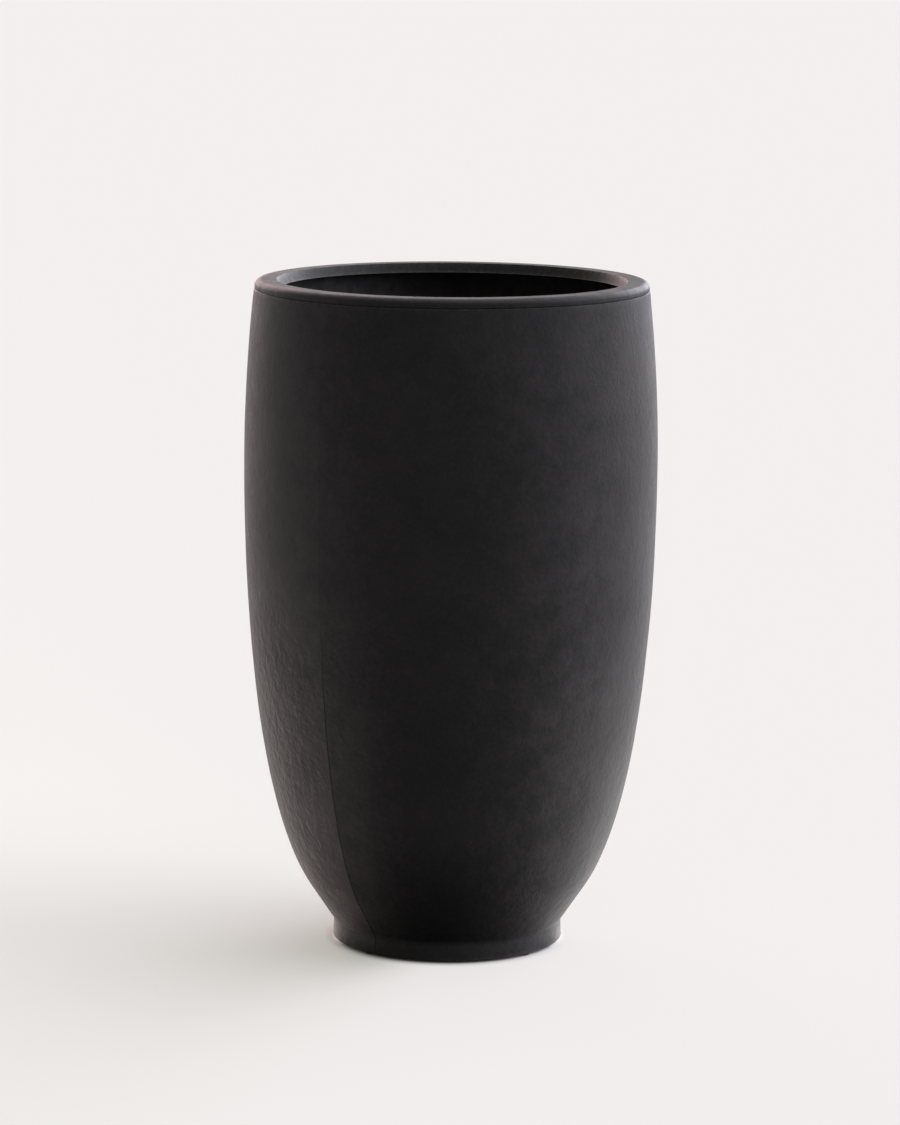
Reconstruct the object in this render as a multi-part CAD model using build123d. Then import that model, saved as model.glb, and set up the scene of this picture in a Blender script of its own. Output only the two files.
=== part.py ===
from build123d import *
import os
from math import cos, radians, sin

# A tall round planter cast in one piece from dark fibre cement. Millimetres, +Z up.
# The origin is on the floor, on the planter's axis. Heights are measured from the floor
# unless their name says otherwise, and radii from the axis.

# The outside of the casting
total_height = 650.0
belly_diameter = 401.4
belly_height = 467.0
shoulder_diameter = 382.0

# Below the belly the side is a superellipse, whose tip would lie at this height on the axis.
# A squarer one stays full further down before it turns in.
bowl_tip_height = 10.0
bowl_squareness = 4.27

# Below this height the side runs straight in to the neck
toe_height = 54.7

# The rolled lip, which stands on a fine crease round the shoulder
lip_band_height = 9.0
lip_step = 0.6
crease_depth = 0.5
crease_width = 0.8
lip_round_width = 7.0
lip_round_height = 5.5
mouth_diameter = 338.0
mouth_draft = 3.5
lip_depth = 9.3
lip_edge_round = 1.0

# The casting's wall and base
wall_thickness = 12.0
under_lip_round = 4.0
base_thickness = 18.0
base_corner_round = 25.0

# The foot ring under the body
neck_diameter = 224.0
neck_height = 20.0
neck_round = 5.0
foot_diameter = 225.4
foot_edge_bevel = 1.0
foot_ring_width = 21.0
recess_depth = 10.0
recess_round = 4.0

# The drain hole, which narrows downwards
drain_diameter = 26.0
drain_draft = 1.0

# The rubber bung in the drain hole
bung_clearance = 0.25
bung_end_inset = 0.5
bung_hollow_diameter = 15.0
bung_hollow_depth = 10.0
flange_overhang = 6.0
flange_thickness = 3.0
flange_edge_round = 1.2
grip_length = 20.0
grip_width = 5.0
grip_height = 9.0
grip_edge_round = 1.2

# The pads stuck under the foot ring
pad_count = 4
pad_diameter = 16.0
pad_thickness = 2.0
pad_edge_bevel = 0.4
first_pad_angle = 45.0

# How many stations the curved side is drawn through, below the belly and above it, and how
# far from a height an edge may lie and still count as being at it
side_stations = 16
level_slack = 0.01

foot_bottom = pad_thickness
shoulder_height = total_height - lip_band_height
lip_underside = total_height - lip_depth
base_underside = foot_bottom + recess_depth
base_top = base_underside + base_thickness
recess_radius = foot_diameter / 2 - foot_ring_width


def side_radius(height):
    """The body's radius at a height between the toe and the belly."""
    drop = (belly_height - height) / (belly_height - bowl_tip_height)
    return belly_diameter / 2 * (1 - drop**2) ** (1 / bowl_squareness)


def toe_point():
    return Vector(side_radius(toe_height), toe_height)


def neck_point():
    return Vector(neck_diameter / 2, neck_height)


def body_curve():
    """The outside of the body from its toe to the belly, then as an arc up to the shoulder."""
    rise = (belly_height - toe_height) / side_stations
    heights = [toe_height + station * rise for station in range(side_stations + 1)]
    lower = Spline(
        *[(side_radius(height), height) for height in heights],
        tangents=[toe_point() - neck_point(), (0, 1)],
    )
    upper = TangentArc(lower @ 1, (shoulder_diameter / 2, shoulder_height), tangent=(0, 1))
    return lower, upper


def foot_curve():
    """The outside of the foot ring, from its bevelled edge up through the neck to the toe."""
    radius = foot_diameter / 2
    edge = Line((radius - foot_edge_bevel, foot_bottom), (radius, foot_bottom + foot_edge_bevel))
    side = FilletPolyline(edge @ 1, neck_point(), toe_point(), radius=neck_round)
    return edge, side


def lip_curve():
    """The crease, the band above it and the lip's rounded outer edge, up to its flat top."""
    shoulder = shoulder_diameter / 2
    band = shoulder - lip_step
    crease = Polyline(
        (shoulder, shoulder_height),
        (band - crease_depth, shoulder_height + crease_width / 2),
        (band, shoulder_height + crease_width),
        (band, total_height - lip_round_height),
    )
    roll = EllipticalCenterArc(
        (band - lip_round_width, total_height - lip_round_height),
        lip_round_width,
        lip_round_height,
        start_angle=0,
        arc_size=90,
    )
    return crease, roll


def outer_outline():
    """Half of the casting's outer shape as a face, with one side on the axis."""
    lower, upper = body_curve()
    edge, side = foot_curve()
    crease, roll = lip_curve()
    centre = Polyline(roll @ 1, (0, total_height), (0, foot_bottom), edge @ 0)
    return make_face([edge, side, lower, upper, crease, roll, centre])


def inner_wall():
    """The wall's inner face, one wall thickness in from the outside, run on past both ends."""
    lower, upper = body_curve()
    places = [(lower, station / side_stations) for station in range(side_stations)]
    places += [(upper, station / side_stations) for station in range(side_stations + 1)]
    points = []
    for curve, place in places:
        along = curve.tangent_at(place)
        inwards = Vector(-along.Y, along.X)
        points.append(curve.position_at(place) + inwards * wall_thickness)
    run_in = (toe_point() - neck_point()).normalized()
    run_out = upper.tangent_at(1)
    side = Spline(*points, tangents=[run_in, run_out])
    below = Line(points[0] - run_in * (points[0].Y / run_in.Y), points[0])
    above = Line(points[-1], points[-1] + run_out * lip_band_height)
    return [below, side, above]


def cavity_outline():
    """Half of the hollow between the base and the lip's underside."""
    wall = inner_wall()
    top = wall[-1] @ 1
    hollow = make_face([*wall, Polyline(top, (0, top.Y), (0, 0), wall[0] @ 0)])
    kept = Pos(0, base_top) * Rectangle(
        belly_diameter, lip_underside - base_top, align=(Align.CENTER, Align.MIN)
    )
    return hollow & kept


def mouth_outline():
    """Half of the opening through the lip, which narrows downwards."""
    top = mouth_diameter / 2
    bottom = top - mouth_draft
    return make_face(
        Polyline(
            (0, lip_underside),
            (bottom, lip_underside),
            (top, total_height),
            (0, total_height),
            close=True,
        )
    )


def drain_outline(clearance=0.0, end_inset=0.0):
    """Half of the drain hole, made smaller by a clearance and cut short at its lower end."""
    top = drain_diameter / 2 - clearance
    bottom = top - drain_draft * (base_thickness - end_inset) / base_thickness
    end = base_underside + end_inset
    return make_face(Polyline((0, end), (bottom, end), (top, base_top), (0, base_top), close=True))


def spun(outline):
    """A face drawn as radius and height, spun about the axis into a solid."""
    return revolve(Plane.XZ * outline, Axis.Z)


def rings_at(solid, height):
    """The circular edges that lie at one height, from the inside outwards."""
    rings = [e for e in solid.edges() if e.is_closed and abs(e.center().Z - height) < level_slack]
    return sorted(rings, key=lambda ring: ring.length)


def recess_outline():
    """Half of the hollow in the underside, inside the foot ring."""
    corner = (recess_radius, base_underside)
    return make_face(Polyline((0, 0), (recess_radius, 0), corner, (0, base_underside), close=True))


def planter_shell():
    """The one casting: body, rolled lip, wall, base and foot ring."""
    recess = fillet(rings_at(spun(recess_outline()), base_underside), recess_round)
    cavity = spun(cavity_outline())
    cavity = fillet(rings_at(cavity, base_top), base_corner_round)
    cavity = fillet(rings_at(cavity, lip_underside), under_lip_round)
    shell = spun(outer_outline()) - cavity - spun(mouth_outline()) - spun(drain_outline()) - recess
    shell = fillet(rings_at(shell, total_height)[:1], lip_edge_round)
    return fillet(rings_at(shell, lip_underside)[:1], lip_edge_round)


def drain_plug():
    """A rubber bung: tapered and hollow below, with a flange and a bar to pull it out by."""
    upwards = (Align.CENTER, Align.CENTER, Align.MIN)
    taper = spun(drain_outline(bung_clearance, bung_end_inset))
    hollow = Cylinder(bung_hollow_diameter / 2, bung_hollow_depth, align=upwards)
    flange = Cylinder(drain_diameter / 2 + flange_overhang, flange_thickness, align=upwards)
    flange = fillet(rings_at(flange, flange_thickness), flange_edge_round)
    bar = extrude(SlotOverall(grip_length, grip_width), flange_thickness + grip_height)
    bar = fillet(bar.edges().group_by(Axis.Z)[-1], grip_edge_round)
    return taper - Pos(0, 0, base_underside) * hollow + Pos(0, 0, base_top) * (flange + bar)


def floor_pad(index):
    """One round pad, flat on the floor and against the underside of the foot ring."""
    angle = radians(first_pad_angle + index * 360 / pad_count)
    reach = foot_diameter / 2 - foot_ring_width / 2
    upwards = (Align.CENTER, Align.CENTER, Align.MIN)
    pad = Cylinder(pad_diameter / 2, pad_thickness, align=upwards)
    pad = chamfer(rings_at(pad, 0), pad_edge_bevel)
    return Pos(reach * cos(angle), reach * sin(angle), 0) * pad


def main():
    os.makedirs("parts", exist_ok=True)
    pieces = {"planter_shell": planter_shell(), "drain_plug": drain_plug()}
    for index in range(pad_count):
        pieces[f"floor_pad_{index + 1}"] = floor_pad(index)
    for name, piece in pieces.items():
        export_step(piece, f"parts/{name}.step")


main()
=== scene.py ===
import bmesh
import bpy
import math
from bpy.props import FloatProperty, FloatVectorProperty, IntProperty, PointerProperty
from bpy.types import Operator, Panel, PropertyGroup
from mathutils import Matrix, Vector
from types import SimpleNamespace


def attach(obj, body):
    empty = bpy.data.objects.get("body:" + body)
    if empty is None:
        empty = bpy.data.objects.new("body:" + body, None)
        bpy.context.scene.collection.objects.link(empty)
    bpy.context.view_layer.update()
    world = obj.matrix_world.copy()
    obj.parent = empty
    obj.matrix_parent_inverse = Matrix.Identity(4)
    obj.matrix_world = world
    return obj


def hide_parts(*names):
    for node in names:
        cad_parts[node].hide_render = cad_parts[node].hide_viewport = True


bl_info = {
    "name": "Concrete planter",
    "version": (1, 0, 0),
    "blender": (4, 5, 0),
    "location": "3D View > Sidebar > Planter",
    "description": "A tall round floor planter cast in dark fibre cement, with its bung and pads",
    "category": "Add Mesh",
}

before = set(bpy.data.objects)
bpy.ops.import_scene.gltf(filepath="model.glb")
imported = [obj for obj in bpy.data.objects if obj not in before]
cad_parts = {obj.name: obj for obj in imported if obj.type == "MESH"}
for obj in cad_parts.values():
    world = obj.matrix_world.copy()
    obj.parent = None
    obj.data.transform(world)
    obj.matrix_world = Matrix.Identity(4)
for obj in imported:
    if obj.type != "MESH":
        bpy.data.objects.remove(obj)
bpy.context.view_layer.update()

# Sizes of the casting that follow from how it is moulded, in metres
FOOT_BOTTOM = 0.002
BOWL_TIP_HEIGHT = 0.010
BOWL_SQUARENESS = 4.27
TOE_HEIGHT = 0.0547
LIP_BAND_HEIGHT = 0.009
LIP_STEP = 0.0006
CREASE_DEPTH = 0.0005
LIP_ROUND_WIDTH = 0.007
LIP_ROUND_HEIGHT = 0.0055
MOUTH_DRAFT = 0.0035
LIP_DEPTH = 0.0093
LIP_EDGE_ROUND = 0.001
UNDER_LIP_ROUND = 0.004
BASE_TOP = 0.030
BASE_UNDERSIDE = 0.012
BASE_CORNER_ROUND = 0.025
NECK_HEIGHT = 0.020
NECK_ROUND = 0.005
FOOT_EDGE_BEVEL = 0.001
FOOT_EDGE_ROUND = 0.0008
FOOT_RING_WIDTH = 0.021
FOOT_RING_ROUND = 0.0006
RECESS_ROUND = 0.004
DRAIN_DRAFT = 0.001
DRAIN_EDGE_ROUND = 0.0004

# How much closer together the outline's points lie towards the toe, and the casting's columns
# towards the mould's parting line
TOE_CROWDING = 1.12
SEAM_CROWDING = 0.44
# How rounded the crest along the parting line is, and how wide its line of flash, in metres
CREST_ROUND = 0.002
FLASH_WIDTH = 0.0005
# The outer face's slow dips and the inner face's lumps: how many to the metre, detail, roughness
DIPS = (9.0, 2.0, 0.5)
LUMPS = (42.0, 3.0, 0.55)

# The camera that took the photograph, from a fit to the rim, the belly and the foot
CAMERA_PLACE = (0.0, -3.99, 1.043)
CAMERA_PITCH = math.radians(9.53)
CAMERA_ROLL = math.radians(0.45)
CAMERA_LENS = 132.8


def length(name, description, default):
    """A size that a user may change, in metres."""
    return FloatProperty(
        name=name, description=description, default=default, unit="LENGTH", subtype="DISTANCE"
    )


def colour(name, description, default):
    """A colour that a user may change, in linear light."""
    return FloatVectorProperty(
        name=name, description=description, default=default, size=3, min=0, max=1, subtype="COLOR"
    )


class CastingSizes(PropertyGroup):
    total_height: length("Height", "Floor to the top of the lip", 0.650)
    belly_diameter: length("Belly diameter", "Widest diameter of the body", 0.4014)
    belly_height: length("Belly height", "Floor to the widest place", 0.467)
    shoulder_diameter: length("Shoulder diameter", "Diameter just under the lip", 0.382)
    mouth_diameter: length("Mouth diameter", "Diameter of the opening in the lip", 0.338)
    wall_thickness: length("Wall", "Thickness of the cast wall", 0.012)
    neck_diameter: length("Neck diameter", "Narrowest place, just above the foot", 0.224)
    foot_diameter: length("Foot diameter", "Outside of the foot ring", 0.2254)
    drain_diameter: length("Drain hole", "Diameter of the drain hole at its top", 0.026)
    columns: IntProperty(name="Columns", description="Faces round the casting", default=320, min=24)
    seam_angle: FloatProperty(
        name="Seam direction",
        description="Where the mould's parting line runs, seen from above",
        default=math.radians(-128),
        unit="ROTATION",
        subtype="ANGLE",
    )
    seam_ridge: length("Seam ridge", "How far the wall swells along the seam", 0.0016)
    seam_width: length("Seam width", "How far that swelling reaches to each side", 0.013)
    flash_height: length("Flash", "Height of the fine line of flash on the seam", 0.00015)
    waviness: length("Waviness", "Depth of the slow dips in the outer face", 0.0004)
    hand_laid: length("Hand-laid relief", "Relief of the inner face", 0.0010)


class CementFinish(PropertyGroup):
    dark: colour("Dark cement", "The sealed face", (0.0155, 0.0150, 0.0156))
    pale: colour("Pale cement", "Clouds and worn places", (0.0380, 0.0355, 0.0350))
    edge: colour("Worn edges", "Cement that shows at the edges", (0.085, 0.080, 0.076))
    inside: colour("Inner face", "The unsealed, hand-laid inside", (0.105, 0.100, 0.096))


class BungSizes(PropertyGroup):
    clearance: length("Clearance", "Gap between the bung and its hole", 0.00025)
    flange_diameter: length("Flange diameter", "The disc that lies on the base", 0.038)
    flange_thickness: length("Flange", "Thickness of that disc", 0.003)
    grip_length: length("Grip length", "Length of the bar it is pulled by", 0.020)
    grip_width: length("Grip width", "Thickness of that bar", 0.005)
    grip_height: length("Grip height", "How far the bar stands up", 0.009)
    rubber: colour("Rubber", "The bung's black rubber", (0.022, 0.022, 0.023))


class PadSizes(PropertyGroup):
    count: IntProperty(name="Pads", description="Pads under the foot ring", default=4, min=3)
    diameter: length("Pad diameter", "Width of a pad", 0.016)
    thickness: length("Pad thickness", "How far a pad lifts the planter", 0.002)
    ring: length("Pad ring", "Distance of a pad's middle from the axis", 0.1022)
    first_angle: FloatProperty(
        name="First pad",
        description="Direction of the first pad",
        default=math.radians(45),
        unit="ROTATION",
        subtype="ANGLE",
    )
    rubber: colour("Pad rubber", "The pads' dark rubber", (0.030, 0.029, 0.028))


class StageLook(PropertyGroup):
    floor: colour("Floor", "Colour of the floor and what is behind it", (0.888, 0.855, 0.847))
    floor_radius: length("Floor radius", "How far the floor reaches", 400.0)


class PlanterSettings(PropertyGroup):
    casting: PointerProperty(type=CastingSizes)
    cement: PointerProperty(type=CementFinish)
    bung: PointerProperty(type=BungSizes)
    pads: PointerProperty(type=PadSizes)
    stage: PointerProperty(type=StageLook)


# Nodes


def add_node(tree, kind, inputs=None, **settings):
    """Add a node, then set or link its inputs, given by name or number."""
    node = tree.nodes.new(kind)
    for name, value in settings.items():
        setattr(node, name, value)
    for key, value in (inputs or {}).items():
        if isinstance(value, bpy.types.NodeSocket):
            tree.links.new(value, node.inputs[key])
        else:
            node.inputs[key].default_value = value
    return node


def calc(tree, operation, *values):
    """One step of arithmetic, on numbers or sockets."""
    return add_node(tree, "ShaderNodeMath", dict(enumerate(values)), operation=operation).outputs[0]


def product(tree, first, *others):
    """Multiply numbers or sockets together."""
    for other in others:
        first = calc(tree, "MULTIPLY", first, other)
    return first


def spread(tree, value, low, high, to_low=0.0, to_high=1.0):
    """Carry a value's range smoothly over to another range, held at both ends."""
    numbers = {"From Min": low, "From Max": high, "To Min": to_low, "To Max": to_high}
    node = add_node(
        tree, "ShaderNodeMapRange", {"Value": value, **numbers}, interpolation_type="SMOOTHSTEP"
    )
    return node.outputs["Result"]


def noise(tree, place, scale, detail, roughness):
    """Cloudy values between about 0 and 1, with so many clouds to the metre."""
    inputs = {"Vector": place, "Scale": scale, "Detail": detail, "Roughness": roughness}
    return add_node(tree, "ShaderNodeTexNoise", inputs).outputs["Fac"]


def split(tree, place):
    """The X, Y and Z of a place."""
    return add_node(tree, "ShaderNodeSeparateXYZ", {"Vector": place}).outputs


def joined(tree, x, y, z):
    """A place or a colour from three numbers or sockets."""
    return add_node(tree, "ShaderNodeCombineXYZ", {"X": x, "Y": y, "Z": z}).outputs[0]


def colour_socket(sockets, name):
    """The socket of a Mix node that has a name and carries a colour."""
    return next(s for s in sockets if s.name == name and s.type == "RGBA")


def blend_colours(tree, amount, first, second):
    """Go from the first colour to the second."""
    node = add_node(
        tree, "ShaderNodeMix", {"Factor": amount}, data_type="RGBA", clamp_factor=True
    )
    for name, value in (("A", first), ("B", second)):
        socket = colour_socket(node.inputs, name)
        if isinstance(value, bpy.types.NodeSocket):
            tree.links.new(value, socket)
        else:
            socket.default_value = (*value, 1.0)
    return colour_socket(node.outputs, "Result")


def new_material(name):
    """An empty material with its shader and output."""
    material = bpy.data.materials.new(name)
    material.use_nodes = True
    tree = material.node_tree
    tree.nodes.clear()
    shader = add_node(tree, "ShaderNodeBsdfPrincipled")
    add_node(tree, "ShaderNodeOutputMaterial", {"Surface": shader.outputs["BSDF"]})
    return material, tree, shader


def bump(tree, height, distance, strength, normal=None):
    """Turn a height between 0 and 1 into relief of a depth in metres, on top of other relief."""
    inputs = {"Height": height, "Distance": distance, "Strength": strength}
    if normal:
        inputs["Normal"] = normal
    return add_node(tree, "ShaderNodeBump", inputs).outputs["Normal"]


def stored(tree, name):
    """A number that the casting's mesh carries at each point, for its material."""
    return add_node(tree, "ShaderNodeAttribute", attribute_name=name).outputs["Fac"]


# The cement's patterns: clouds to the metre, how much detail they have, and how rough it is
PATTERNS = {
    "clouds": (11.0, 4.0, 0.55),
    "patches": (48.0, 3.0, 0.6),
    "mottle": (260.0, 4.0, 0.62),
    "grain": (1100.0, 2.0, 0.6),
    "dents": (85.0, 3.0, 0.55),
    "rough_cast": (100.0, 3.0, 0.62),
    "thin_sealer": (330.0, 3.0, 0.6),
    "worn_flecks": (190.0, 3.0, 0.65),
}
# The streaks lean over by so many radians to the metre, and are drawn out along the height
STREAKS = (150.0, 4.0, 0.65)
STREAK_LEAN = 2.0
STREAK_DRAW = 0.42
# Pinholes: cells to the metre, which of them have one, and its size by the cell's number
PIT_CELLS = 75.0
PIT_FROM = 0.86
PIT_SIZE = 0.055
# How deep each kind of relief is, in metres, and how much of it shows
DENT_RELIEF = (0.0009, 0.45)
STREAK_RELIEF = (0.0007, 0.9)
ROUGH_CAST_RELIEF = (0.0026, 0.9)
MOTTLE_RELIEF = (0.00035, 0.7)
GRAIN_RELIEF = (0.00012, 0.60)
PIT_RELIEF = (0.0006, 0.9)
# The painted shade tones of the parting line, the lip and the pinholes
SEAM_SHADE_TONE = (0.004, 0.004, 0.004)
LIP_SHADE_TONE = (0.005, 0.005, 0.006)
PIT_SHADE_TONE = (0.006, 0.006, 0.006)


def cement_patterns(tree):
    """What the cement's colour, sheen and relief are all drawn from."""
    place = add_node(tree, "ShaderNodeTexCoord").outputs["Object"]
    parts = split(tree, place)
    height = parts["Z"]
    outer, hand_laid = stored(tree, "outer_face"), stored(tree, "hand_laid")

    # Streaks climb the wall on a slant: their pattern is turned about the axis as it rises
    lean = product(tree, height, STREAK_LEAN)
    turned = add_node(
        tree, "ShaderNodeVectorRotate", {"Vector": place, "Angle": lean}, rotation_type="Z_AXIS"
    ).outputs["Vector"]
    drawn = add_node(
        tree, "ShaderNodeMapping", {"Vector": turned, "Scale": (1.0, 1.0, STREAK_DRAW)}
    ).outputs["Vector"]

    # The cast face is roughest low on the left of the photograph
    rough_side = product(
        tree,
        spread(tree, parts["X"], -0.09, -0.14, 0.25, 1.0),
        spread(tree, height, 0.42, 0.24),
    )

    # One small pit in some of the cells
    cells = add_node(
        tree, "ShaderNodeTexVoronoi", {"Vector": place, "Scale": PIT_CELLS}, feature="F1"
    )
    pick = add_node(tree, "ShaderNodeSeparateColor", {"Color": cells.outputs["Color"]}).outputs[0]
    from_pit = calc(tree, "DIVIDE", cells.outputs["Distance"], product(tree, pick, PIT_SIZE))
    chosen = calc(tree, "GREATER_THAN", pick, PIT_FROM)

    neither_face = calc(tree, "SUBTRACT", 1.0, calc(tree, "MAXIMUM", outer, hand_laid))
    return SimpleNamespace(
        height=height,
        outer=outer,
        hand_laid=hand_laid,
        lip=product(tree, neither_face, spread(tree, height, 0.630, 0.640)),
        rough_side=rough_side,
        streaks=noise(tree, drawn, *STREAKS),
        pits=product(tree, spread(tree, from_pit, 1.0, 0.55), chosen),
        **{name: noise(tree, place, *shape) for name, shape in PATTERNS.items()},
    )


def cement_colour(tree, finish, on):
    """The sealed face's clouds, streaks and thin places, the raw inside, and painted shade on the
    parting line, the lip and in the pinholes.
    """
    low_wall = spread(tree, on.height, 0.36, 0.10)
    streaked = product(tree, spread(tree, on.streaks, 0.48, 0.66), low_wall)
    # How much of each pattern's range goes into the face's paleness
    shares = (
        (spread(tree, on.clouds, 0.36, 0.66), 0.32),
        (spread(tree, on.patches, 0.36, 0.66), 0.30),
        (spread(tree, on.mottle, 0.30, 0.74), 0.34),
        (streaked, 0.16),
    )
    paleness = 0.0
    for pattern, share in shares:
        paleness = calc(tree, "MULTIPLY_ADD", pattern, share, paleness)
    sealed = blend_colours(tree, paleness, finish.dark, finish.pale)

    # Small pale flecks where the sealer is thin, low on the wall
    thin = product(
        tree,
        spread(tree, on.thin_sealer, 0.56, 0.70),
        spread(tree, on.patches, 0.42, 0.60),
        calc(tree, "MULTIPLY_ADD", on.rough_side, 0.45, 0.06),
    )
    sealed = blend_colours(tree, thin, sealed, finish.edge)

    # Painted shade: a fine dark line painted where the halves of the mould met, for the shade along
    # the seam's ridge, plainest low down
    line = product(
        tree,
        spread(tree, stored(tree, "off_seam"), 0.0011, 0.0004),
        on.outer,
        spread(tree, on.height, 0.38, 0.20, 0.05, 0.85),
    )
    sealed = blend_colours(tree, line, sealed, SEAM_SHADE_TONE)
    # Painted shade: the lip is painted darker than the body, for the shade on its rolled edge and
    # top
    sealed = blend_colours(tree, product(tree, on.lip, 0.55), sealed, LIP_SHADE_TONE)

    # Wear takes the sealer off the edges, in flecks
    flecks = spread(tree, on.worn_flecks, 0.38, 0.62)
    flecks = calc(tree, "MULTIPLY_ADD", flecks, 0.65, 0.35)
    worn = product(tree, stored(tree, "edge_wear"), flecks)
    worn_face = blend_colours(tree, worn, sealed, finish.edge)
    raw_cloud = spread(tree, on.patches, 0.3, 0.7, 0.45, 1.0)
    raw_face = blend_colours(tree, raw_cloud, finish.dark, finish.inside)
    faced = blend_colours(tree, on.hand_laid, worn_face, raw_face)
    # Painted shade: the pinholes are real pits, painted darker for the shade inside them
    return blend_colours(tree, on.pits, faced, PIT_SHADE_TONE)


def cement_relief(tree, on):
    """Dents, slanting streaks, the rough cast low on one side, mottle, grain and pinholes."""
    streaked = product(tree, on.streaks, calc(tree, "MULTIPLY_ADD", on.rough_side, 0.85, 0.15))
    rough_cast = product(tree, on.rough_cast, on.rough_side)
    relief = bump(tree, on.dents, *DENT_RELIEF)
    relief = bump(tree, streaked, *STREAK_RELIEF, relief)
    relief = bump(tree, rough_cast, *ROUGH_CAST_RELIEF, relief)
    relief = bump(tree, on.mottle, *MOTTLE_RELIEF, relief)
    relief = bump(tree, on.grain, *GRAIN_RELIEF, relief)
    return bump(tree, calc(tree, "SUBTRACT", 1.0, on.pits), *PIT_RELIEF, relief)


def cement_material(finish):
    """Sealed charcoal cement: cloudy, finely mottled, pitted, worn at its edges."""
    material, tree, shader = new_material("sealed_cement")
    on = cement_patterns(tree)
    tree.links.new(cement_colour(tree, finish, on), shader.inputs["Base Color"])

    roughness = calc(tree, "MULTIPLY_ADD", spread(tree, on.patches, 0.3, 0.75), 0.10, 0.42)
    mottled = spread(tree, on.mottle, 0.3, 0.7)
    for pattern, share in ((mottled, 0.08), (on.hand_laid, 0.30), (on.lip, -0.06)):
        roughness = calc(tree, "MULTIPLY_ADD", pattern, share, roughness)
    tree.links.new(roughness, shader.inputs["Roughness"])

    # The sealer is thinner, and so duller, just above the foot, and thicker on the foot
    gloss = spread(tree, on.height, 0.04, 0.16, 0.02, 0.10)
    gloss = calc(tree, "ADD", gloss, spread(tree, on.height, 0.024, 0.017, 0.0, 0.09))
    gloss = calc(tree, "MULTIPLY_ADD", on.lip, 0.01, gloss)
    tree.links.new(gloss, shader.inputs["Specular IOR Level"])

    # Fine dust everywhere but on the lip
    tree.links.new(spread(tree, on.lip, 0.0, 1.0, 0.05, 0.0), shader.inputs["Sheen Weight"])
    shader.inputs["Sheen Roughness"].default_value = 0.35
    tree.links.new(cement_relief(tree, on), shader.inputs["Normal"])
    return material


def rubber_material(name, tone, grain_scale):
    """Matt moulded rubber with a fine grain and a little dust."""
    material, tree, shader = new_material(name)
    place = add_node(tree, "ShaderNodeTexCoord").outputs["Object"]
    dust = spread(tree, noise(tree, place, 160.0, 4.0, 0.6), 0.45, 0.75)
    grain = noise(tree, place, grain_scale, 2.0, 0.6)
    pale = [min(1.0, part * 2.4) for part in tone]
    dusty = blend_colours(tree, product(tree, dust, 0.55), tone, pale)
    tree.links.new(dusty, shader.inputs["Base Color"])
    roughness = calc(tree, "MULTIPLY_ADD", dust, 0.18, 0.55)
    tree.links.new(roughness, shader.inputs["Roughness"])
    shader.inputs["Specular IOR Level"].default_value = 0.45
    tree.links.new(bump(tree, grain, 0.0001, 0.5), shader.inputs["Normal"])
    return material


# Outlines, as points of radius and height


def straight(start, end, steps):
    """Points from start to end, without the last."""
    (r0, z0), (r1, z1) = start, end
    return [(r0 + (r1 - r0) * i / steps, z0 + (z1 - z0) * i / steps) for i in range(steps)]


def rounded(before, corner, after, radius, steps):
    """An arc that rounds the corner between two straight runs, both its ends included."""
    back = (Vector(before) - Vector(corner)).normalized()
    on = (Vector(after) - Vector(corner)).normalized()
    half = back.angle(on) / 2
    centre = Vector(corner) + (back + on).normalized() * (radius / math.sin(half))
    reach = radius / math.tan(half)
    start = Vector(corner) + back * reach - centre
    end = Vector(corner) + on * reach - centre
    first = math.atan2(start.y, start.x)
    sweep = math.remainder(math.atan2(end.y, end.x) - first, math.tau)
    angles = (first + sweep * i / steps for i in range(steps + 1))
    return [(centre.x + radius * math.cos(a), centre.y + radius * math.sin(a)) for a in angles]


def rolled(side, top, width, height, steps):
    """A quarter of an ellipse that rounds an outer edge, from its side up to its top."""
    turns = [math.radians(90) * step / steps for step in range(steps + 1)]
    return [(side - width * (1 - math.cos(t)), top - height * (1 - math.sin(t))) for t in turns]


def side_radius(sizes, height):
    """The body's radius at a height between the toe and the belly."""
    drop = (sizes.belly_height - height) / (sizes.belly_height - BOWL_TIP_HEIGHT)
    return sizes.belly_diameter / 2 * (1 - drop**2) ** (1 / BOWL_SQUARENESS)


def upper_radius(sizes, height):
    """The body's radius at a height between the belly and the shoulder."""
    rise = sizes.total_height - LIP_BAND_HEIGHT - sizes.belly_height
    fall = (sizes.belly_diameter - sizes.shoulder_diameter) / 2
    bend = (rise**2 + fall**2) / (2 * fall)
    up = height - sizes.belly_height
    return sizes.belly_diameter / 2 - bend + math.sqrt(bend**2 - up**2)


def side_points(sizes, steps_below, steps_above):
    """The outside of the body from its toe to its shoulder, both ends included."""
    low, belly = TOE_HEIGHT, sizes.belly_height
    top = sizes.total_height - LIP_BAND_HEIGHT
    points = []
    for step in range(steps_below):
        height = low + (belly - low) * (step / steps_below) ** TOE_CROWDING
        points.append((side_radius(sizes, height), height))
    for step in range(steps_above + 1):
        height = belly + (top - belly) * step / steps_above
        points.append((upper_radius(sizes, height), height))
    return points


def inner_points(sizes, steps_below, steps_above):
    """The inner face, one wall thickness in from the outside, from the bottom up."""
    outside = side_points(sizes, steps_below, steps_above)
    wall = sizes.wall_thickness
    points = []
    for i, (r, z) in enumerate(outside):
        r0, z0 = outside[max(i - 1, 0)]
        r1, z1 = outside[min(i + 1, len(outside) - 1)]
        along = Vector((r1 - r0, z1 - z0)).normalized()
        points.append((r - along.y * wall, z + along.x * wall))
    return points


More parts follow.
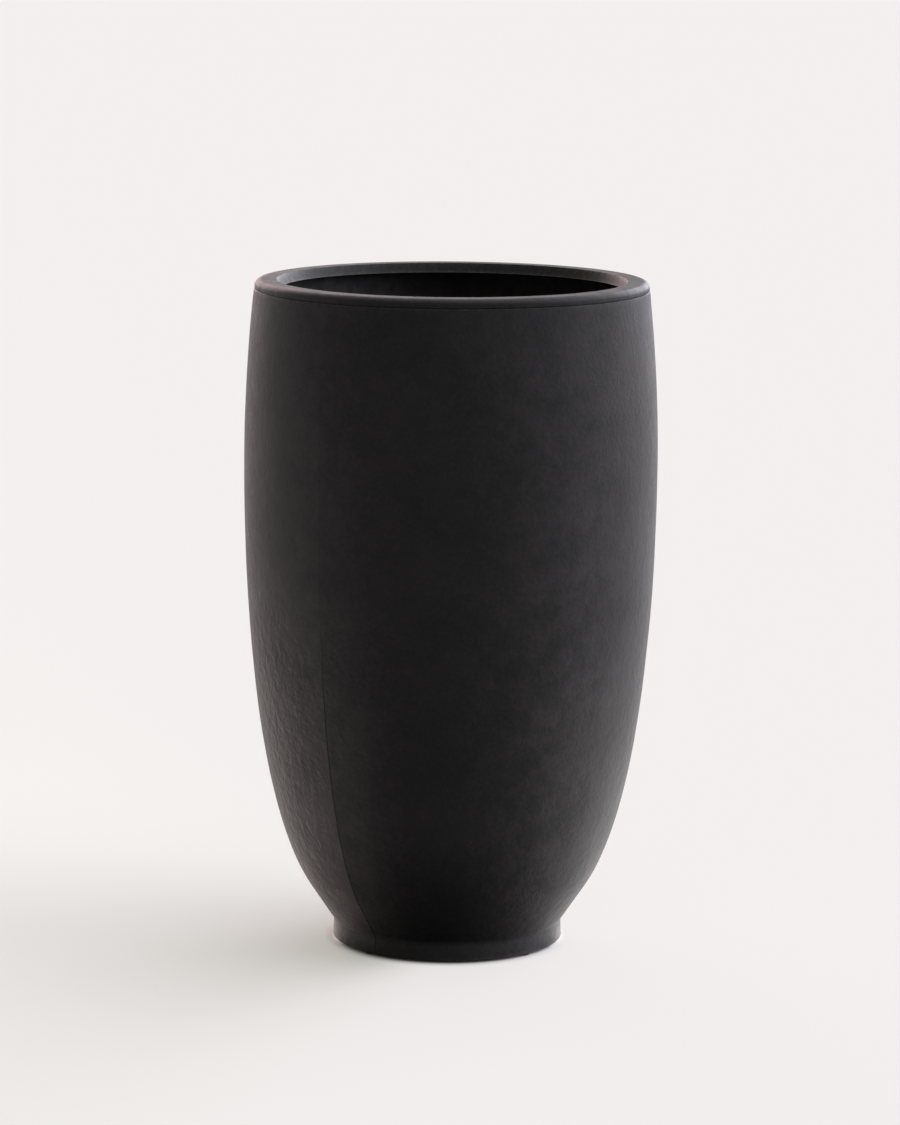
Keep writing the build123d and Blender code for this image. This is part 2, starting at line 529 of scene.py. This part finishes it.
def corners(sizes):
    """The corners of the casting's outline, before any is rounded."""
    top, side = sizes.total_height, sizes.shoulder_diameter / 2
    foot, drain = sizes.foot_diameter / 2, sizes.drain_diameter / 2
    recess, mouth = foot - FOOT_RING_WIDTH, sizes.mouth_diameter / 2
    return SimpleNamespace(
        foot_ring=(recess, FOOT_BOTTOM),
        foot_under=(foot - FOOT_EDGE_BEVEL, FOOT_BOTTOM),
        foot_edge=(foot, FOOT_BOTTOM + FOOT_EDGE_BEVEL),
        neck=(sizes.neck_diameter / 2, NECK_HEIGHT),
        toe=(side_radius(sizes, TOE_HEIGHT), TOE_HEIGHT),
        shoulder=(side, top - LIP_BAND_HEIGHT),
        band_top=(side - LIP_STEP, top),
        mouth=(mouth, top),
        throat=(mouth - MOUTH_DRAFT, top - LIP_DEPTH),
        drain_top=(drain, BASE_TOP),
        drain_low=(drain - DRAIN_DRAFT, BASE_UNDERSIDE),
        recess=(recess, BASE_UNDERSIDE),
    )


def marked(places, wear=0.0, raw=0.0, outer=0.0):
    """Outline points: radius, height, edge wear, and how far each is inner and outer face."""
    return [(radius, height, wear, raw, outer) for radius, height in places]


def foot_and_side(sizes, at):
    """From under the foot ring, up the outside of the body to its shoulder."""
    ring_edge = rounded(at.foot_ring, at.foot_under, at.foot_edge, FOOT_RING_ROUND, 2)
    side_edge = rounded(at.foot_under, at.foot_edge, at.neck, FOOT_EDGE_ROUND, 2)
    neck_arc = rounded(at.foot_edge, at.neck, at.toe, NECK_ROUND, 5)
    above_edge = (at.foot_edge[0], at.foot_edge[1] + 0.0006)
    points = marked(ring_edge, 0.7) + marked(side_edge, 0.8)
    points += marked(straight(above_edge, neck_arc[0], 6), 0.15, outer=1.0)
    points += marked(neck_arc + straight(neck_arc[-1], at.toe, 7)[1:], outer=1.0)
    return points + marked(side_points(sizes, 70, 32)[:-1], outer=1.0)


def lip_and_mouth(at):
    """The crease, the band above it, the rolled edge, the flat top and the mouth's wall."""
    (side, low), (band, top) = at.shoulder, at.band_top
    deep = band - CREASE_DEPTH
    # The crease is a fine groove with soft edges
    points = marked([(side - 0.00003, low - 0.0009)], 0.25)
    points += marked([(side - 0.00012, low - 0.0003)], 0.5)
    points += marked([(band - 0.0001, low + 0.00010), (deep, low + 0.00032)])
    points += marked([(deep, low + 0.00048), (band - 0.00015, low + 0.00075)])
    points += marked([(band, low + 0.0011)], 0.25)

    roll = rolled(band, top, LIP_ROUND_WIDTH, LIP_ROUND_HEIGHT, 10)
    points += marked(straight((band, low + 0.0018), roll[0], 2) + roll, 0.1)
    mouth_edge = rounded(roll[-1], at.mouth, at.throat, LIP_EDGE_ROUND, 4)
    points += marked(straight(roll[-1], mouth_edge[0], 6)[1:], 0.08)
    points += marked(mouth_edge, 0.35)
    # The mouth's wall flares into a fine tang at its lower edge, which points inwards
    inwards = (at.foot_edge[0], at.throat[1])
    tang = rounded(at.mouth, at.throat, inwards, LIP_EDGE_ROUND, 4)
    points += marked(straight(mouth_edge[-1], tang[0], 3)[1:], 0.2)
    return points + marked(tang, 0.5)


def hollow(sizes, at, start):
    """Out under the lip, down the inner face, and over the base to the drain hole."""
    inner = inner_points(sizes, 46, 22)[::-1]
    roof = (inner[0][0], at.throat[1])
    wall_top = rounded(start, roof, inner[2], UNDER_LIP_ROUND, 5)
    points = marked(straight(start, wall_top[0], 3)[1:], raw=0.4)
    points += marked(wall_top, raw=0.8)
    points += marked([place for place in inner if place[1] < wall_top[-1][1] - 0.003], raw=1.0)

    run = Vector(at.toe) - Vector(at.neck)
    low = Vector(inner[-1])
    corner = low + run * ((BASE_TOP - low.y) / run.y)
    base_arc = rounded(low, corner, at.drain_top, BASE_CORNER_ROUND, 8)
    drain = at.drain_top[0]
    points += marked(straight(low, base_arc[0], 3)[1:] + base_arc, raw=1.0)
    points += marked(straight(base_arc[-1], (drain + 0.006, BASE_TOP), 8)[1:], raw=1.0)
    return points + marked([(drain + 0.006, BASE_TOP), (drain + 0.002, BASE_TOP)], raw=0.6)


def underside(at, start):
    """Down the drain hole and out over the recess, to the underside of the foot ring."""
    hole = rounded(start, at.drain_top, at.drain_low, DRAIN_EDGE_ROUND, 2)
    hole_end = rounded(hole[-1], at.drain_low, at.recess, DRAIN_EDGE_ROUND, 2)
    points = marked(hole, 0.3, 0.3) + marked(straight(hole[-1], at.drain_low, 3)[1:])
    points += marked(hole_end, 0.3)
    recess_arc = rounded(at.drain_low, at.recess, at.foot_ring, RECESS_ROUND, 4)
    past_hole = (at.drain_top[0] + 0.002, BASE_UNDERSIDE)
    points += marked(straight(past_hole, recess_arc[0], 7) + recess_arc, raw=0.3)
    inner_edge = rounded(recess_arc[-1], at.foot_ring, at.foot_under, FOOT_RING_ROUND, 2)
    points += marked(inner_edge, 0.4, 0.3)
    ring_start = (at.foot_ring[0] + 0.003, FOOT_BOTTOM)
    ring_end = (at.foot_under[0] - 0.002, FOOT_BOTTOM)
    return points + marked(straight(ring_start, ring_end, 3), 0.3, 0.2)


def casting_outline(sizes):
    """The casting's closed outline, from its foot, over its lip and through its hollow."""
    at = corners(sizes)
    points = foot_and_side(sizes, at) + lip_and_mouth(at)
    points += hollow(sizes, at, points[-1][:2])
    return points + underside(at, points[-1][:2])


# Pieces


def node_tree(name, count, numbers):
    """A geometry tree: a mesh, a count, some numbers and a material go in, a mesh comes out."""
    tree = bpy.data.node_groups.new(name, "GeometryNodeTree")
    tree.interface.new_socket("Geometry", in_out="OUTPUT", socket_type="NodeSocketGeometry")
    sockets = {"Geometry": "Geometry", count: "Int", **dict.fromkeys(numbers, "Float")}
    for label, kind in {**sockets, "Material": "Material"}.items():
        tree.interface.new_socket(label, in_out="INPUT", socket_type=f"NodeSocket{kind}")
    return tree, tree.nodes.new("NodeGroupInput").outputs


def finish_tree(tree, geometry, material):
    """End a geometry tree: real geometry, one material, and the output."""
    real = add_node(tree, "GeometryNodeRealizeInstances", {"Geometry": geometry})
    painted = add_node(
        tree, "GeometryNodeSetMaterial", {"Geometry": real.outputs[0], "Material": material}
    )
    add_node(tree, "NodeGroupOutput", {"Geometry": painted.outputs[0]})


def add_piece(name, mesh):
    """Put a mesh in the scene as an object at the origin."""
    piece = bpy.data.objects.new(name, mesh)
    bpy.context.collection.objects.link(piece)
    return piece


def made_by_tree(name, base, tree, values):
    """Run a geometry tree on a base mesh and keep the plain mesh that it makes."""
    maker = add_piece(name + "_maker", base)
    modifier = maker.modifiers.new("tree", "NODES")
    modifier.node_group = tree
    for item in tree.interface.items_tree:
        if item.in_out == "INPUT" and item.name in values:
            modifier[item.identifier] = values[item.name]
    graph = bpy.context.evaluated_depsgraph_get()
    mesh = bpy.data.meshes.new_from_object(maker.evaluated_get(graph), depsgraph=graph)
    maker.modifiers.remove(modifier)
    bpy.data.objects.remove(maker)
    mesh.name = name
    return add_piece(name, mesh)


def mesh_from(shape, name):
    """Turn an edited shape into a mesh, and free the shape."""
    mesh = bpy.data.meshes.new(name)
    shape.to_mesh(mesh)
    shape.free()
    return mesh


def smooth_mesh(mesh, sharp_angle):
    """Shade a mesh smooth, apart from edges sharper than an angle in degrees."""
    mesh.shade_smooth()
    mesh.set_sharp_from_angle(angle=math.radians(sharp_angle))


def named(tree, name):
    """A number that the mesh carries at each point, inside a geometry tree."""
    return add_node(
        tree, "GeometryNodeInputNamedAttribute", {"Name": name}, data_type="FLOAT"
    ).outputs["Attribute"]


def moved(tree, mesh, **how):
    """Give a mesh's points a new Position, or an Offset from where they are."""
    return add_node(tree, "GeometryNodeSetPosition", {"Geometry": mesh, **how}).outputs[0]


def spin(tree, given):
    """Spin the outline into a closed skin that keeps the outline's marks at its points."""
    outline = given["Geometry"]
    rows = add_node(
        tree, "GeometryNodeAttributeDomainSize", {"Geometry": outline}, component="MESH"
    ).outputs["Point Count"]
    across = calc(tree, "ADD", given["Columns"], 1.0)
    down = calc(tree, "ADD", rows, 1.0)
    mesh = add_node(
        tree, "GeometryNodeMeshGrid", {"Vertices X": across, "Vertices Y": down}
    ).outputs["Mesh"]
    index = add_node(tree, "GeometryNodeInputIndex").outputs[0]
    column = calc(tree, "FLOOR", calc(tree, "DIVIDE", calc(tree, "ADD", index, 0.5), down))
    row = calc(tree, "SUBTRACT", index, product(tree, column, down))
    row = calc(tree, "FLOORED_MODULO", calc(tree, "ROUND", row), rows)

    def from_outline(value, kind="FLOAT"):
        inputs = {"Geometry": outline, "Value": value, "Index": row}
        sample = add_node(tree, "GeometryNodeSampleIndex", inputs, data_type=kind)
        return sample.outputs["Value"]

    # The columns crowd together at the parting line and at its twin on the other side
    turn = calc(tree, "DIVIDE", product(tree, column, math.tau), given["Columns"])
    crowd = calc(tree, "SINE", product(tree, turn, 2.0))
    from_seam = calc(tree, "MULTIPLY_ADD", crowd, -SEAM_CROWDING, turn)
    angle = calc(tree, "ADD", from_seam, given["Seam Direction"])
    position = add_node(tree, "GeometryNodeInputPosition").outputs[0]
    place = split(tree, from_outline(position, "FLOAT_VECTOR"))
    radius = place["X"]
    x = product(tree, radius, calc(tree, "COSINE", angle))
    y = product(tree, radius, calc(tree, "SINE", angle))
    mesh = moved(tree, mesh, Position=joined(tree, x, y, place["Z"]))

    sideways = calc(tree, "ABSOLUTE", calc(tree, "SINE", from_seam))
    marks = {
        "edge_wear": from_outline(named(tree, "wear")),
        "hand_laid": from_outline(named(tree, "raw")),
        "outer_face": from_outline(named(tree, "outer")),
        "off_seam": product(tree, sideways, radius),
    }
    for name, value in marks.items():
        inputs = {"Geometry": mesh, "Name": name, "Value": value}
        mesh = add_node(
            tree, "GeometryNodeStoreNamedAttribute", inputs, data_type="FLOAT", domain="POINT"
        ).outputs[0]
    return add_node(
        tree, "GeometryNodeMergeByDistance", {"Geometry": mesh, "Distance": 1e-6}
    ).outputs[0]


def casting_relief(tree, given):
    """How far each point of the casting stands out from its plain spun skin."""
    position = add_node(tree, "GeometryNodeInputPosition").outputs[0]
    height = split(tree, position)["Z"]
    off = named(tree, "off_seam")

    # The halves of the mould met at a slight angle, most of all low down, so the wall rises
    # to a rounded crest along the parting line, with a fine line of flash on it
    from_crest = calc(tree, "MULTIPLY_ADD", off, off, CREST_ROUND**2)
    from_crest = calc(tree, "POWER", from_crest, 0.5)
    fade = calc(tree, "EXPONENT", calc(tree, "DIVIDE", from_crest, given["Seam Width"]))
    crest = calc(tree, "DIVIDE", spread(tree, height, 0.08, 0.50, 1.0, 0.18), fade)
    crest = product(tree, crest, spread(tree, height, 0.025, 0.060, 0.35, 1.0))
    flash = product(tree, calc(tree, "POWER", off, 2.0), -1 / FLASH_WIDTH**2)
    flash = calc(tree, "EXPONENT", flash)
    ridge = product(tree, crest, given["Seam Ridge"])
    ridge = calc(tree, "MULTIPLY_ADD", flash, given["Flash Height"], ridge)

    on_wall = product(tree, spread(tree, height, 0.640, 0.630), named(tree, "outer_face"))
    dips = spread(tree, noise(tree, position, *DIPS), 0.35, 0.70)
    dips = product(tree, dips, given["Waviness"], on_wall)

    # The inner face was laid up by hand
    lumps = calc(tree, "SUBTRACT", noise(tree, position, *LUMPS), 0.5)
    well_in = spread(tree, named(tree, "hand_laid"), 0.55, 1.0)
    lumps = product(tree, lumps, given["Hand-laid Relief"], well_in)
    outside = calc(tree, "SUBTRACT", product(tree, ridge, on_wall), dips)
    return calc(tree, "ADD", outside, lumps)


def casting_tree():
    """Spin an outline about the axis, with fine columns at the seams, and give it relief."""
    numbers = ("Seam Direction", "Seam Ridge", "Seam Width", "Flash Height", "Waviness")
    tree, given = node_tree("spun_casting", "Columns", (*numbers, "Hand-laid Relief"))
    mesh = spin(tree, given)
    rise = casting_relief(tree, given)
    normal = add_node(tree, "GeometryNodeInputNormal").outputs[0]
    offset = add_node(
        tree, "ShaderNodeVectorMath", {0: normal, "Scale": rise}, operation="SCALE"
    ).outputs[0]
    finish_tree(tree, moved(tree, mesh, Offset=offset), given["Material"])
    return tree


class PLANTER_OT_casting(Operator):
    """Cast the planter: body, rolled lip, inner face, base and foot ring in one skin"""

    bl_idname = "planter.casting"
    bl_label = "Casting"

    def execute(self, context):
        settings = context.scene.planter
        sizes = settings.casting
        outline = casting_outline(sizes)
        base = bpy.data.meshes.new("casting_outline")
        count = len(outline)
        edges = [(i, (i + 1) % count) for i in range(count)]
        base.from_pydata([(r, 0.0, z) for r, z, *_ in outline], edges, [])
        for name, column in (("wear", 2), ("raw", 3), ("outer", 4)):
            attribute = base.attributes.new(name, "FLOAT", "POINT")
            attribute.data.foreach_set("value", [point[column] for point in outline])
        values = {
            "Columns": sizes.columns,
            "Seam Direction": sizes.seam_angle,
            "Seam Ridge": sizes.seam_ridge,
            "Seam Width": sizes.seam_width,
            "Flash Height": sizes.flash_height,
            "Waviness": sizes.waviness,
            "Hand-laid Relief": sizes.hand_laid,
            "Material": cement_material(settings.cement),
        }
        piece = made_by_tree("planter_casting", base, casting_tree(), values)
        smooth_mesh(piece.data, 40)
        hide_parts("planter_shell")
        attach(piece, "planter")
        return {"FINISHED"}


# The bung's details, in metres: its low sealing ribs, the groove in its flange, the grooves for
# the fingers and the rounding of its edges
BUNG_COLUMNS = 96
BUNG_END_INSET = 0.0005
RIB_HEIGHTS = (0.0185, 0.0250)
RIB_HALF_WIDTH = 0.0011
RIB_RISE = 0.0002
FLANGE_ROUND = 0.0012
FLANGE_GROOVE_DEPTH = 0.00025
GRIP_ROUND = 0.0012
GRIP_FOOT_ROUND = 0.0013
GRIP_GROOVES = 4
GRIP_GROOVE_START = 0.0027
GRIP_GROOVE_PITCH = 0.0014
GRIP_GROOVE_DEPTH = 0.00028


def circle_ring(size, height):
    """One ring of the bung's round part."""
    turns = [math.tau * i / BUNG_COLUMNS for i in range(BUNG_COLUMNS)]
    return [(size * math.cos(turn), size * math.sin(turn), height) for turn in turns]


def bar_ring(sizes, size, height):
    """One ring of the grip, a bar with round ends, with as many corners as a circle has."""
    straight_half = (sizes.grip_length - sizes.grip_width) / 2
    ring = []
    for i in range(BUNG_COLUMNS):
        turn = math.tau * i / BUNG_COLUMNS
        quarter, part = divmod(4 * i / BUNG_COLUMNS, 1)
        part = part if quarter % 2 == 0 else 1 - part
        if part < 0.5:
            bend = math.radians(180 * part)
            x, y = straight_half + size * math.cos(bend), size * math.sin(bend)
        else:
            x, y = straight_half * (2 - 2 * part), size
        ring.append((math.copysign(x, math.cos(turn)), math.copysign(y, math.sin(turn)), height))
    return ring


def rib(height):
    """How much of a sealing rib's rise the bung's side has at a height, from 0 to 1."""
    off = min(abs(height - place) for place in RIB_HEIGHTS)
    return math.cos(off / RIB_HALF_WIDTH * math.pi / 2) if off < RIB_HALF_WIDTH else 0


def taper_places(hole_top, hole_bottom):
    """The bung's hollow, its end and its tapered side, up to the base that it seals."""
    low, seat = BASE_UNDERSIDE + BUNG_END_INSET, BASE_TOP
    places = [(0.004, 0.022), (0.0066, 0.022), (0.0072, 0.0218), (0.0075, 0.0212)]
    places += [(0.0075, 0.0132), (0.0078, low + 0.0001), (0.0081, low)]
    places += [(hole_bottom - 0.0004, low), (hole_bottom - 0.0001, low + 0.0001)]
    taper = (hole_top - hole_bottom) / (seat - BASE_UNDERSIDE)
    for step in range(33):
        height = low + 0.0005 + (seat - low - 0.001) * step / 32
        side = hole_bottom + taper * (height - BASE_UNDERSIDE)
        places.append((side + RIB_RISE * rib(height), height))
    return places


def flange_places(sizes, hole_top):
    """The flange that lies on the base, with a fine groove moulded in its top."""
    seat, wide = BASE_TOP, sizes.flange_diameter / 2
    top = seat + sizes.flange_thickness
    groove = top - FLANGE_GROOVE_DEPTH
    places = [(hole_top, seat - 0.0001), (hole_top + 0.0003, seat + 0.00004)]
    places += [(wide - 0.0005, seat + 0.00004), (wide - 0.00012, seat + 0.00016)]
    places += [(wide, seat + 0.0005), *rolled(wide, top, FLANGE_ROUND, FLANGE_ROUND, 5)]
    places += [(0.0165, top), (0.0163, groove), (0.0157, groove), (0.0155, top)]
    return [*places, (0.0135, top)]


def grip_places(sizes):
    """The grip, which grows out of the flange with a hollow curve, grooved for the fingers."""
    half = sizes.grip_width / 2
    low = BASE_TOP + sizes.flange_thickness
    deep = half - GRIP_GROOVE_DEPTH
    places = []
    for step in range(6):
        turn = math.radians(18 * step)
        out, up = 1 - math.sin(turn), 1 - math.cos(turn)
        places.append((half + GRIP_FOOT_ROUND * out, low + GRIP_FOOT_ROUND * up))
    for groove in range(GRIP_GROOVES):
        middle = low + GRIP_GROOVE_START + GRIP_GROOVE_PITCH * groove
        places += [(half, middle - 0.0005), (deep, middle - 0.0002)]
        places += [(deep, middle + 0.0002), (half, middle + 0.0005)]
    return places + rolled(half, low + sizes.grip_height, GRIP_ROUND, GRIP_ROUND, 5)


class PLANTER_OT_bung(Operator):
    """Mould the rubber bung: hollow end, sealing ribs, flange and grip in one skin"""

    bl_idname = "planter.bung"
    bl_label = "Bung"

    def execute(self, context):
        settings = context.scene.planter
        sizes = settings.bung
        hole_top = settings.casting.drain_diameter / 2 - sizes.clearance
        hole_bottom = hole_top - DRAIN_DRAFT
        places = taper_places(hole_top, hole_bottom) + flange_places(sizes, hole_top)
        rings = [circle_ring(size, height) for size, height in places]
        rings += [bar_ring(sizes, size, height) for size, height in grip_places(sizes)]
        shape = bmesh.new()
        rows = [[shape.verts.new(place) for place in ring] for ring in rings]
        for lower, upper in zip(rows, rows[1:]):
            for i in range(BUNG_COLUMNS):
                j = (i + 1) % BUNG_COLUMNS
                shape.faces.new((lower[i], lower[j], upper[j], upper[i]))
        shape.faces.new(list(reversed(rows[0])))
        shape.faces.new(rows[-1])
        bmesh.ops.recalc_face_normals(shape, faces=shape.faces)
        mesh = mesh_from(shape, "drain_bung")
        smooth_mesh(mesh, 35)
        mesh.materials.append(rubber_material("bung_rubber", sizes.rubber, 2600.0))
        piece = add_piece("drain_bung", mesh)
        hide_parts("drain_plug")
        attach(piece, "plug")
        return {"FINISHED"}


def pad_mesh():
    """One pad as wide and as high as 1, on the floor at the origin, with grooves to grip it."""
    outline = [(0.0, 0.10), (0.14, 0.10), (0.17, 0.0), (0.24, 0.0), (0.27, 0.10), (0.33, 0.10)]
    outline += [(0.36, 0.0), (0.45, 0.0), (0.475, 0.06), (0.49, 0.16), (0.497, 0.3), (0.5, 0.5)]
    outline += [(0.497, 0.8), (0.49, 0.94), (0.48, 1.0), (0.0, 1.0)]
    shape = bmesh.new()
    points = [shape.verts.new((r, 0.0, z)) for r, z in outline]
    edges = [shape.edges.new(pair) for pair in zip(points, points[1:])]
    bmesh.ops.spin(
        shape, geom=points + edges, axis=(0, 0, 1), cent=(0, 0, 0), steps=48, angle=math.tau
    )
    bmesh.ops.remove_doubles(shape, verts=shape.verts, dist=1e-5)
    bmesh.ops.recalc_face_normals(shape, faces=shape.faces)
    return mesh_from(shape, "pad")


def pads_tree():
    """Set copies of one pad out on a ring under the foot."""
    numbers = ("Pad Diameter", "Pad Thickness", "Ring Radius", "First Angle")
    tree, given = node_tree("pads_on_ring", "Pads", numbers)
    inputs = {"Vertices": given["Pads"], "Radius": given["Ring Radius"]}
    ring = add_node(tree, "GeometryNodeMeshCircle", inputs).outputs[0]
    inputs = {"Geometry": ring, "Rotation": joined(tree, 0.0, 0.0, given["First Angle"])}
    ring = add_node(tree, "GeometryNodeTransform", inputs).outputs[0]
    wide, high = given["Pad Diameter"], given["Pad Thickness"]
    size = joined(tree, wide, wide, high)
    inputs = {"Points": ring, "Instance": given["Geometry"], "Scale": size}
    copies = add_node(tree, "GeometryNodeInstanceOnPoints", inputs).outputs[0]
    finish_tree(tree, copies, given["Material"])
    return tree


class PLANTER_OT_pads(Operator):
    """Stick the rubber pads under the foot ring"""

    bl_idname = "planter.pads"
    bl_label = "Floor pads"

    def execute(self, context):
        sizes = context.scene.planter.pads
        values = {
            "Pads": sizes.count,
            "Pad Diameter": sizes.diameter,
            "Pad Thickness": sizes.thickness,
            "Ring Radius": sizes.ring,
            "First Angle": sizes.first_angle,
            "Material": rubber_material("pad_rubber", sizes.rubber, 1800.0),
        }
        piece = made_by_tree("floor_pads", pad_mesh(), pads_tree(), values)
        smooth_mesh(piece.data, 40)
        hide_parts(*(f"floor_pad_{i + 1}" for i in range(4)))
        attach(piece, "planter")
        return {"FINISHED"}


# The stage

# Wide, soft lamps: direction round the axis from the right and up from the floor, and how wide
# the light is, all in degrees, its strength, and its tint
PLAIN = (0.995, 1.0, 0.995)
COOL = (0.96, 0.97, 1.12)
WARM = (1.32, 0.98, 0.96)
LAMPS = {
    "key": (14, 66, 80, 1.78, PLAIN),
    "top": (0, 90, 90, 0.25, PLAIN),
    "front": (-80, 55, 60, 0.08, PLAIN),
    "right": (4, 12, 60, 2.00, COOL),
    "right_upper": (0, 35, 50, 0.33, COOL),
    "right_behind": (56, 10, 50, 2.60, COOL),
    "left_behind": (114, 12, 40, 1.05, WARM),
    "left_upper": (140, 35, 50, 0.05, WARM),
}

# Part of what is seen of the floor is its own glow, which makes its shadow as faint as in the
# photograph: least on the left, where the shadow falls, and most elsewhere. It starts just
# inside the foot's edge and is full just outside it, in metres from the axis
GLOW_LEFT = 0.46
GLOW_ELSEWHERE = 0.84
# Less glow under the foot and just outside its edge paints a contact shadow round the foot
GLOW_START, GLOW_FULL = 0.104, 0.125
# The glow on the left is yellower, a painted tint for the shadow that falls there
GLOW_LEFT_SHADOW_TINT = (0.880, 0.870, 0.800)
# How much light the floor throws back on the object, in front of it and elsewhere
BOUNCE_IN_FRONT = 0.03
BOUNCE_ELSEWHERE = 0.75
# White boards that lie on the floor to both sides light the lower wall and are never seen:
# where they are full and where they have faded out, in metres from the axis, how strong they
# are on the left and on the right, and the tone of the left one
BOARD_FULL, BOARD_END = 0.30, 1.00
BOARD_LEFT, BOARD_RIGHT = 17.0, 26.0
BOARD_LEFT_TONE = (0.99, 0.82, 0.79)


def aim(around, up):
    """A unit vector towards a place round the object, from two angles in degrees."""
    around, up = math.radians(around), math.radians(up)
    level = math.cos(up)
    return Vector((math.cos(around) * level, math.sin(around) * level, math.sin(up)))


def seen_directly(tree):
    """1 for light paths that show a thing itself: to the camera, in a gloss or through glass."""
    path = add_node(tree, "ShaderNodeLightPath").outputs
    seen = calc(tree, "MAXIMUM", path["Is Camera Ray"], path["Is Glossy Ray"])
    return calc(tree, "MAXIMUM", seen, path["Is Transmission Ray"])


def floor_material(look):
    """A plain pale floor that keeps its shadow. The object gets almost no light from it in
    front, as over a black cloth, and much from both sides, as over white boards."""
    material, tree, shader = new_material("studio_floor")
    material.cycles.emission_sampling = "NONE"
    place = add_node(tree, "ShaderNodeTexCoord").outputs["Object"]
    away = add_node(tree, "ShaderNodeVectorMath", {0: place}, operation="LENGTH").outputs["Value"]
    way = add_node(tree, "ShaderNodeVectorMath", {0: place}, operation="NORMALIZE").outputs[0]
    parts = split(tree, way)
    right, ahead = parts["X"], parts["Y"]
    seen = seen_directly(tree)

    # What the floor shows: its own colour, part lit and part glow
    # The glow held back near the foot is a painted contact shadow
    glow = product(
        tree,
        spread(tree, right, -0.70, -0.10, GLOW_LEFT, GLOW_ELSEWHERE),
        spread(tree, away, GLOW_START, GLOW_FULL),
    )
    lit = blend_colours(tree, glow, look.floor, (0.0, 0.0, 0.0))
    # On the left the glow takes that yellower tone, a painted shadow tint
    on_left = spread(tree, right, -0.10, -0.70)
    glow_tone_with_shadow_tint = blend_colours(tree, on_left, look.floor, GLOW_LEFT_SHADOW_TINT)

    # What it throws on the object
    bounce = spread(tree, ahead, -0.85, -0.45, BOUNCE_IN_FRONT, BOUNCE_ELSEWHERE)
    board = product(
        tree,
        spread(tree, right, -0.3, 0.3, BOARD_LEFT, BOARD_RIGHT),
        spread(tree, ahead, -0.45, -0.10),
        spread(tree, ahead, 0.80, 0.30),
        spread(tree, away, BOARD_END, BOARD_FULL),
    )
    board_tone = blend_colours(tree, spread(tree, right, -0.3, 0.3), BOARD_LEFT_TONE, look.floor)

    colour_now = blend_colours(tree, seen, joined(tree, bounce, bounce, bounce), lit)
    tone_now = blend_colours(tree, seen, board_tone, glow_tone_with_shadow_tint)
    unseen_board = product(tree, calc(tree, "SUBTRACT", 1.0, seen), board)
    strength = calc(tree, "MULTIPLY_ADD", seen, glow, unseen_board)
    tree.links.new(colour_now, shader.inputs["Base Color"])
    tree.links.new(tone_now, shader.inputs["Emission Color"])
    tree.links.new(strength, shader.inputs["Emission Strength"])
    shader.inputs["Roughness"].default_value = 1.0
    shader.inputs["Specular IOR Level"].default_value = 0.0
    return material


def build_world(look):
    """Show the floor's own colour behind everything, and leave the lighting to the lamps."""
    world = bpy.data.worlds.new("studio")
    world.use_nodes = True
    world.cycles.sampling_method = "NONE"
    tree = world.node_tree
    tree.nodes.clear()
    seen = seen_directly(tree)
    plain = add_node(
        tree, "ShaderNodeBackground", {"Color": (*look.floor, 1.0), "Strength": seen}
    )
    add_node(tree, "ShaderNodeOutputWorld", {"Surface": plain.outputs[0]})
    bpy.context.scene.world = world


class PLANTER_OT_stage(Operator):
    """Set out the floor, the wide soft lamps and the camera"""

    bl_idname = "planter.stage"
    bl_label = "Stage"

    def execute(self, context):
        scene = context.scene
        look = scene.planter.stage
        shape = bmesh.new()
        bmesh.ops.create_circle(shape, cap_ends=True, segments=64, radius=look.floor_radius)
        mesh = mesh_from(shape, "floor")
        mesh.materials.append(floor_material(look))
        add_piece("floor", mesh)
        build_world(look)
        for name, (around, up, width, strength, tint) in LAMPS.items():
            lamp = bpy.data.lights.new(name, "SUN")
            lamp.angle = math.radians(width)
            lamp.energy = strength
            lamp.color = tint
            holder = bpy.data.objects.new(name, lamp)
            holder.rotation_euler = aim(around, up).to_track_quat("Z", "Y").to_euler()
            scene.collection.objects.link(holder)
        lens = bpy.data.cameras.new("camera")
        lens.lens = CAMERA_LENS
        lens.clip_end = 1000.0
        camera = bpy.data.objects.new("camera", lens)
        tilt = Matrix.Rotation(math.radians(90) - CAMERA_PITCH, 4, "X")
        roll = Matrix.Rotation(CAMERA_ROLL, 4, "Z")
        camera.matrix_world = Matrix.Translation(CAMERA_PLACE) @ tilt @ roll
        scene.collection.objects.link(camera)
        scene.camera = camera
        scene.view_settings.view_transform = "Standard"
        return {"FINISHED"}


class VIEW3D_PT_planter(Panel):
    """The planter's operators, each with its settings"""

    bl_label = "Planter"
    bl_space_type = "VIEW_3D"
    bl_region_type = "UI"
    bl_category = "Planter"

    def draw(self, context):
        settings = context.scene.planter
        for step, groups in (
            (PLANTER_OT_casting, (settings.casting, settings.cement)),
            (PLANTER_OT_bung, (settings.bung,)),
            (PLANTER_OT_pads, (settings.pads,)),
            (PLANTER_OT_stage, (settings.stage,)),
        ):
            box = self.layout.box()
            box.operator(step.bl_idname)
            for group in groups:
                for name in group.__annotations__:
                    box.prop(group, name)


CLASSES = (
    CastingSizes,
    CementFinish,
    BungSizes,
    PadSizes,
    StageLook,
    PlanterSettings,
    PLANTER_OT_casting,
    PLANTER_OT_bung,
    PLANTER_OT_pads,
    PLANTER_OT_stage,
    VIEW3D_PT_planter,
)


def register():
    for kind in CLASSES:
        bpy.utils.register_class(kind)
    bpy.types.Scene.planter = PointerProperty(type=PlanterSettings)


def unregister():
    del bpy.types.Scene.planter
    for kind in reversed(CLASSES):
        bpy.utils.unregister_class(kind)


def main():
    """Register the add-on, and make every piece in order."""
    register()
    bpy.ops.planter.casting()
    bpy.ops.planter.bung()
    bpy.ops.planter.pads()
    bpy.ops.planter.stage()


if __name__ == "__main__":
    main()
